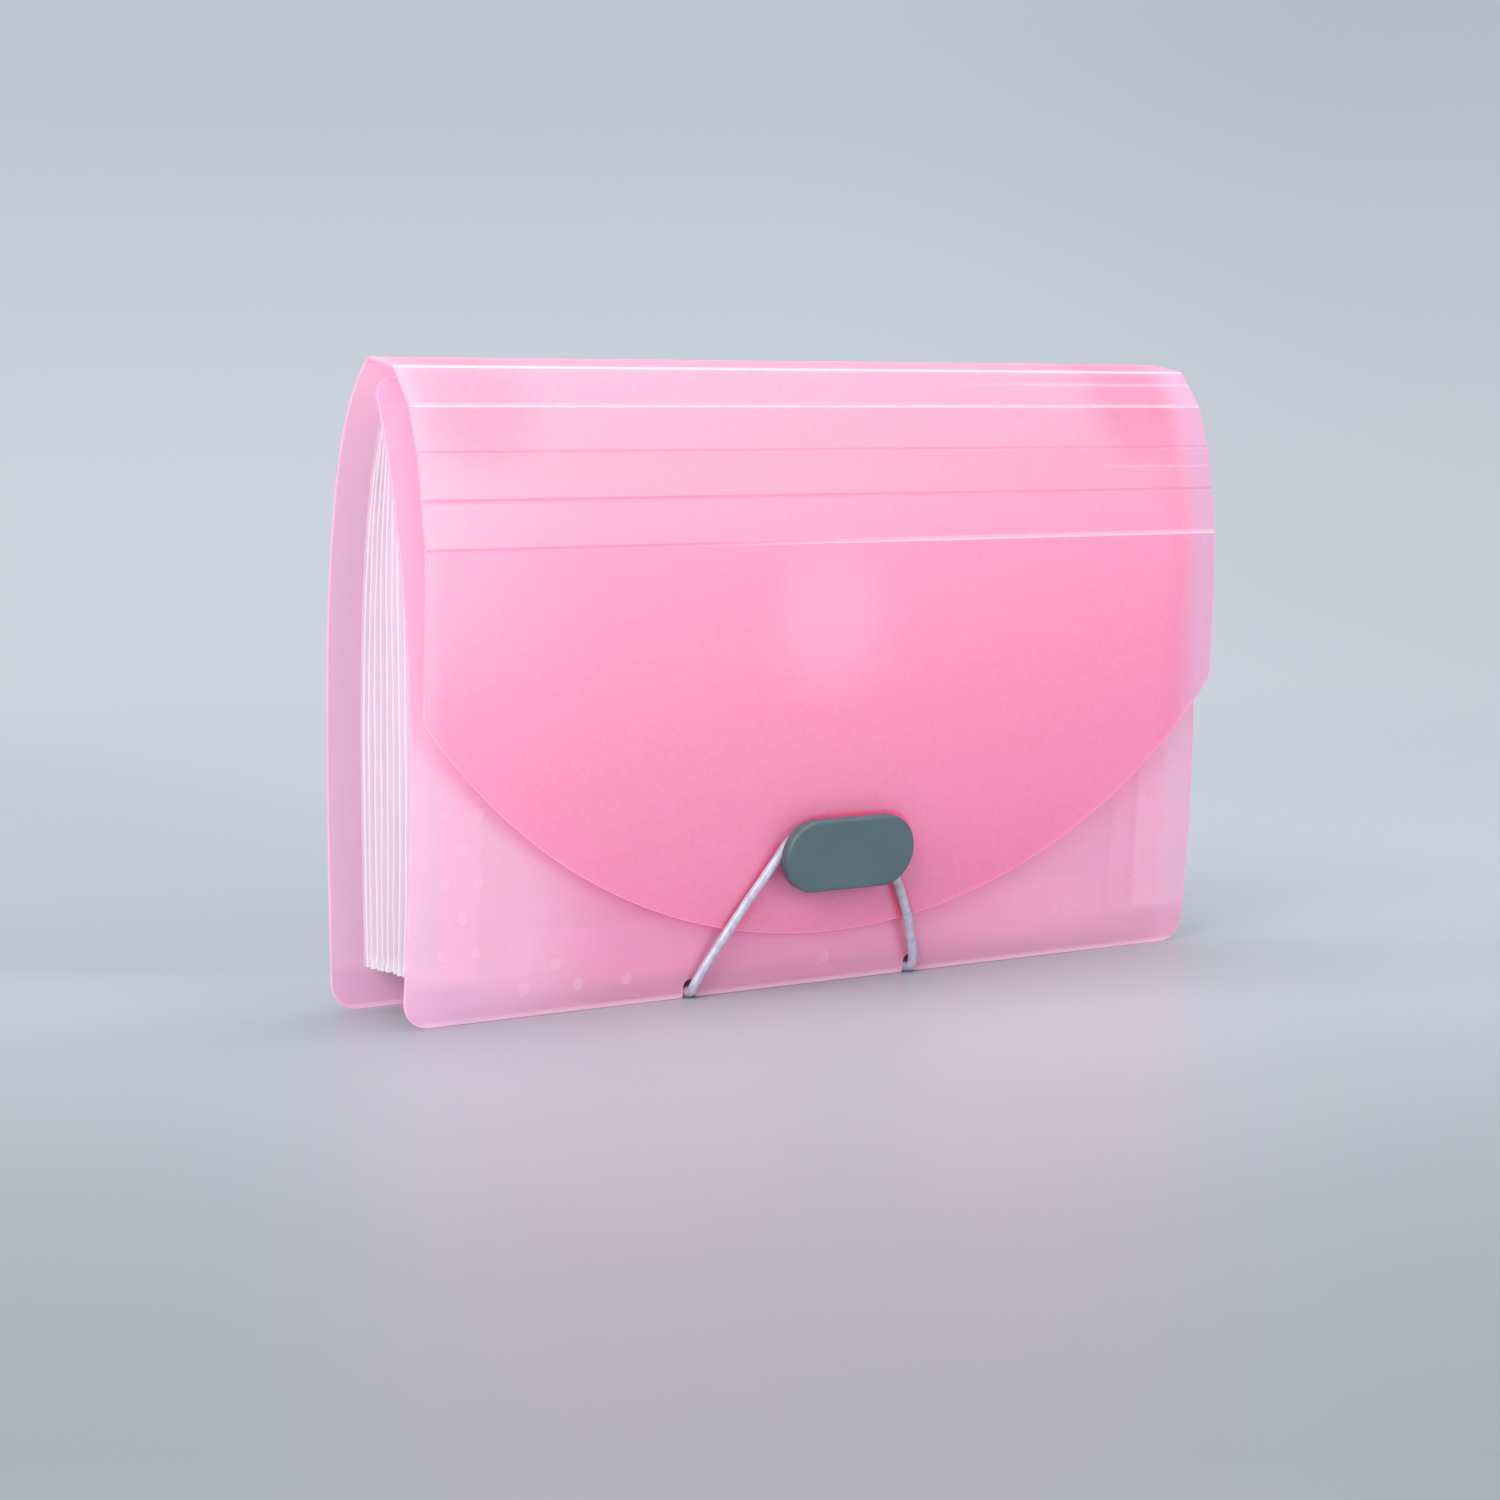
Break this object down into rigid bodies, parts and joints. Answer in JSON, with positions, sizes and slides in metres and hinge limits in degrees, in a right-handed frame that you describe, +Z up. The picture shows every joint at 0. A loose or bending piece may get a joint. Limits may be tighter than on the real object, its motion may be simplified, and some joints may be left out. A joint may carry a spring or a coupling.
{
  "type": "coupon organizer wallet",
  "caption": "Frosted plastic expanding wallet with pleated side gussets, fanning pockets, a scored flap, and a pill button held by an elastic loop.",
  "frame": {"origin": "bottom centre of the wallet's bounding box, on the surface it stands on", "axes": "+X along the width, to the right as the flap is faced; -Y out of the front, where the flap and the button are; +Z up"},
  "size_m": [0.178, 0.0354, 0.1138],
  "materials": {
    "cover_sheet": "frosted translucent pink polypropylene, satin",
    "divider_sheet": "frosted clear polypropylene, satin",
    "gusset_film": "milky translucent film, satin",
    "button_plastic": "moulded slate grey plastic, satin",
    "elastic_cord": "braided silver-white cord",
    "crimp_metal": "pressed, satin"
  },
  "bodies": {
    "back_cover": {"back_cover": "cover_sheet"},
    "flap_strip_1": {"flap_strip_1": "cover_sheet"},
    "flap_strip_2": {"flap_strip_2": "cover_sheet"},
    "flap_strip_3": {"flap_strip_3": "cover_sheet"},
    "flap_strip_4": {"flap_strip_4": "cover_sheet"},
    "flap_strip_5": {"flap_strip_5": "cover_sheet"},
    "flap_tongue": {"flap_tongue": "cover_sheet", "button": "button_plastic", "button_backing": "button_plastic"},
    "divider_1": {"divider_1": "divider_sheet", "gusset_pleat_1": "gusset_film", "pocket_base_1": "gusset_film"},
    "divider_2": {"divider_2": "divider_sheet", "gusset_pleat_2": "gusset_film", "pocket_base_2": "gusset_film"},
    "divider_3": {"divider_3": "divider_sheet", "gusset_pleat_3": "gusset_film", "pocket_base_3": "gusset_film"},
    "divider_4": {"divider_4": "divider_sheet", "gusset_pleat_4": "gusset_film", "pocket_base_4": "gusset_film"},
    "divider_5": {"divider_5": "divider_sheet", "gusset_pleat_5": "gusset_film", "pocket_base_5": "gusset_film"},
    "divider_6": {"divider_6": "divider_sheet", "gusset_pleat_6": "gusset_film", "pocket_base_6": "gusset_film"},
    "divider_7": {"divider_7": "divider_sheet", "gusset_pleat_7": "gusset_film", "pocket_base_7": "gusset_film"},
    "divider_8": {"divider_8": "divider_sheet", "gusset_pleat_8": "gusset_film", "pocket_base_8": "gusset_film"},
    "divider_9": {"divider_9": "divider_sheet", "gusset_pleat_9": "gusset_film", "pocket_base_9": "gusset_film"},
    "divider_10": {"divider_10": "divider_sheet", "gusset_pleat_10": "gusset_film", "pocket_base_10": "gusset_film"},
    "divider_11": {"divider_11": "divider_sheet", "gusset_pleat_11": "gusset_film", "pocket_base_11": "gusset_film"},
    "divider_12": {"divider_12": "divider_sheet", "gusset_pleat_12": "gusset_film", "pocket_base_12": "gusset_film"},
    "front_cover": {"front_cover": "cover_sheet", "gusset_pleat_13": "gusset_film", "pocket_base_13": "gusset_film", "elastic_crimp": "crimp_metal"},
    "elastic": {"elastic_loop": "elastic_cord"}
  },
  "joints": [
    {"name": "flap_open", "type": "hinge", "parent": "back_cover", "child": "flap_strip_1", "pos_m": [0, 0.00186, 0.1138], "axis": [-1, 0, 0], "range_deg": [0, 220]},
    {"name": "crease_1", "type": "hinge", "parent": "flap_strip_1", "child": "flap_strip_2", "pos_m": [0, -0.00662, 0.11184], "axis": [-1, 0, 0], "range_deg": [0, 41.1]},
    {"name": "crease_2", "type": "hinge", "parent": "flap_strip_2", "child": "flap_strip_3", "pos_m": [0, -0.01167, 0.10538], "axis": [-1, 0, 0], "range_deg": [0, 21.1]},
    {"name": "crease_3", "type": "hinge", "parent": "flap_strip_3", "child": "flap_strip_4", "pos_m": [0, -0.01406, 0.09754], "axis": [-1, 0, 0], "range_deg": [0, 7.6]},
    {"name": "crease_4", "type": "hinge", "parent": "flap_strip_4", "child": "flap_strip_5", "pos_m": [0, -0.01542, 0.08945], "axis": [-1, 0, 0], "range_deg": [0, 1.6]},
    {"name": "crease_5", "type": "hinge", "parent": "flap_strip_5", "child": "flap_tongue", "pos_m": [0, -0.01656, 0.08133], "axis": [-1, 0, 0], "range_deg": [0, 8.6]},
    {"name": "pocket_1_fan", "type": "hinge", "parent": "back_cover", "child": "divider_1", "pos_m": [0, -0.00794, 0], "axis": [1, 0, 0], "range_deg": [0, 5.02], "deforming": ["gusset_pleat_1", "pocket_base_1"]},
    {"name": "pocket_2_fan", "type": "hinge", "parent": "divider_1", "child": "divider_2", "pos_m": [0, -0.00794, 0], "axis": [1, 0, 0], "range_deg": [0, 5.02], "deforming": ["gusset_pleat_2", "pocket_base_2"]},
    {"name": "pocket_3_fan", "type": "hinge", "parent": "divider_2", "child": "divider_3", "pos_m": [0, -0.00794, 0], "axis": [1, 0, 0], "range_deg": [0, 5.02], "deforming": ["gusset_pleat_3", "pocket_base_3"]},
    {"name": "pocket_4_fan", "type": "hinge", "parent": "divider_3", "child": "divider_4", "pos_m": [0, -0.00794, 0], "axis": [1, 0, 0], "range_deg": [0, 5.02], "deforming": ["gusset_pleat_4", "pocket_base_4"]},
    {"name": "pocket_5_fan", "type": "hinge", "parent": "divider_4", "child": "divider_5", "pos_m": [0, -0.00794, 0], "axis": [1, 0, 0], "range_deg": [0, 5.02], "deforming": ["gusset_pleat_5", "pocket_base_5"]},
    {"name": "pocket_6_fan", "type": "hinge", "parent": "divider_5", "child": "divider_6", "pos_m": [0, -0.00794, 0], "axis": [1, 0, 0], "range_deg": [0, 5.02], "deforming": ["gusset_pleat_6", "pocket_base_6"]},
    {"name": "pocket_7_fan", "type": "hinge", "parent": "divider_6", "child": "divider_7", "pos_m": [0, -0.00794, 0], "axis": [1, 0, 0], "range_deg": [0, 5.02], "deforming": ["gusset_pleat_7", "pocket_base_7"]},
    {"name": "pocket_8_fan", "type": "hinge", "parent": "divider_7", "child": "divider_8", "pos_m": [0, -0.00794, 0], "axis": [1, 0, 0], "range_deg": [0, 5.02], "deforming": ["gusset_pleat_8", "pocket_base_8"]},
    {"name": "pocket_9_fan", "type": "hinge", "parent": "divider_8", "child": "divider_9", "pos_m": [0, -0.00794, 0], "axis": [1, 0, 0], "range_deg": [0, 5.02], "deforming": ["gusset_pleat_9", "pocket_base_9"]},
    {"name": "pocket_10_fan", "type": "hinge", "parent": "divider_9", "child": "divider_10", "pos_m": [0, -0.00794, 0], "axis": [1, 0, 0], "range_deg": [0, 5.02], "deforming": ["gusset_pleat_10", "pocket_base_10"]},
    {"name": "pocket_11_fan", "type": "hinge", "parent": "divider_10", "child": "divider_11", "pos_m": [0, -0.00794, 0], "axis": [1, 0, 0], "range_deg": [0, 5.02], "deforming": ["gusset_pleat_11", "pocket_base_11"]},
    {"name": "pocket_12_fan", "type": "hinge", "parent": "divider_11", "child": "divider_12", "pos_m": [0, -0.00794, 0], "axis": [1, 0, 0], "range_deg": [0, 5.02], "deforming": ["gusset_pleat_12", "pocket_base_12"]},
    {"name": "pocket_13_fan", "type": "hinge", "parent": "divider_12", "child": "front_cover", "pos_m": [0, -0.00794, 0], "axis": [1, 0, 0], "range_deg": [0, 5.02], "deforming": ["gusset_pleat_13", "pocket_base_13"]},
    {"name": "elastic_swing", "type": "hinge", "parent": "front_cover", "child": "elastic", "pos_m": [0, -0.00764, 0.0022], "axis": [1, 0, 0], "range_deg": [0, 20], "stiffness_Nm_per_rad": 0.002, "deforming": ["elastic_loop"]}
  ],
  "couplings": [
    {"joint": "crease_1", "follows": "flap_open", "ratio": 0.18636},
    {"joint": "crease_2", "follows": "flap_open", "ratio": 0.095455},
    {"joint": "crease_3", "follows": "flap_open", "ratio": 0.034091},
    {"joint": "crease_4", "follows": "flap_open", "ratio": 0.006818},
    {"joint": "crease_5", "follows": "flap_open", "ratio": 0.038636},
    {"joint": "pocket_1_fan", "follows": "flap_open", "ratio": 0.022727},
    {"joint": "pocket_2_fan", "follows": "flap_open", "ratio": 0.022727},
    {"joint": "pocket_3_fan", "follows": "flap_open", "ratio": 0.022727},
    {"joint": "pocket_4_fan", "follows": "flap_open", "ratio": 0.022727},
    {"joint": "pocket_5_fan", "follows": "flap_open", "ratio": 0.022727},
    {"joint": "pocket_6_fan", "follows": "flap_open", "ratio": 0.022727},
    {"joint": "pocket_7_fan", "follows": "flap_open", "ratio": 0.022727},
    {"joint": "pocket_8_fan", "follows": "flap_open", "ratio": 0.022727},
    {"joint": "pocket_9_fan", "follows": "flap_open", "ratio": 0.022727},
    {"joint": "pocket_10_fan", "follows": "flap_open", "ratio": 0.022727},
    {"joint": "pocket_11_fan", "follows": "flap_open", "ratio": 0.022727},
    {"joint": "pocket_12_fan", "follows": "flap_open", "ratio": 0.022727},
    {"joint": "pocket_13_fan", "follows": "flap_open", "ratio": 0.022727}
  ]
}
